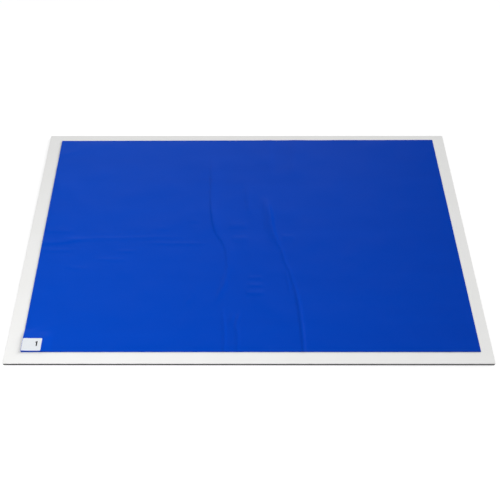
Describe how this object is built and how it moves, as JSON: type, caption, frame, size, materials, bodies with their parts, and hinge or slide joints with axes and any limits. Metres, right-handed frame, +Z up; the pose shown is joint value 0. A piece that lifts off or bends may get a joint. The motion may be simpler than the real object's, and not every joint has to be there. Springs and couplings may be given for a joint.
{
  "type": "cleanroom sticky mat",
  "caption": "Flat rectangular entrance mat: a pad of peelable adhesive film sheets with numbered corner tabs, lying on a white base board with a dark non-slip foam backing.",
  "frame": {"origin": "on the floor, under the middle of the base board", "axes": "+X along the long side, +Y along the short side away from the numbered tabs, +Z up; the tabs are at the corner towards -X and -Y"},
  "size_m": [0.96, 0.645, 0.0098],
  "materials": {
    "board_white": "extruded polystyrene sheet with a fine satin grain",
    "backing_foam": "closed-cell foam rubber",
    "film_blue": "pigmented polyethylene film with a clear tacky coat",
    "tab_white": "smooth coated label",
    "tab_ink": "black printing ink"
  },
  "bodies": {
    "root": {"base_board": "board_white", "grip_backing": "backing_foam", "sheet_stack": "film_blue", "top_sheet": "film_blue", "tab_stack": "tab_white", "top_tab": "tab_white"}
  },
  "joints": []
}
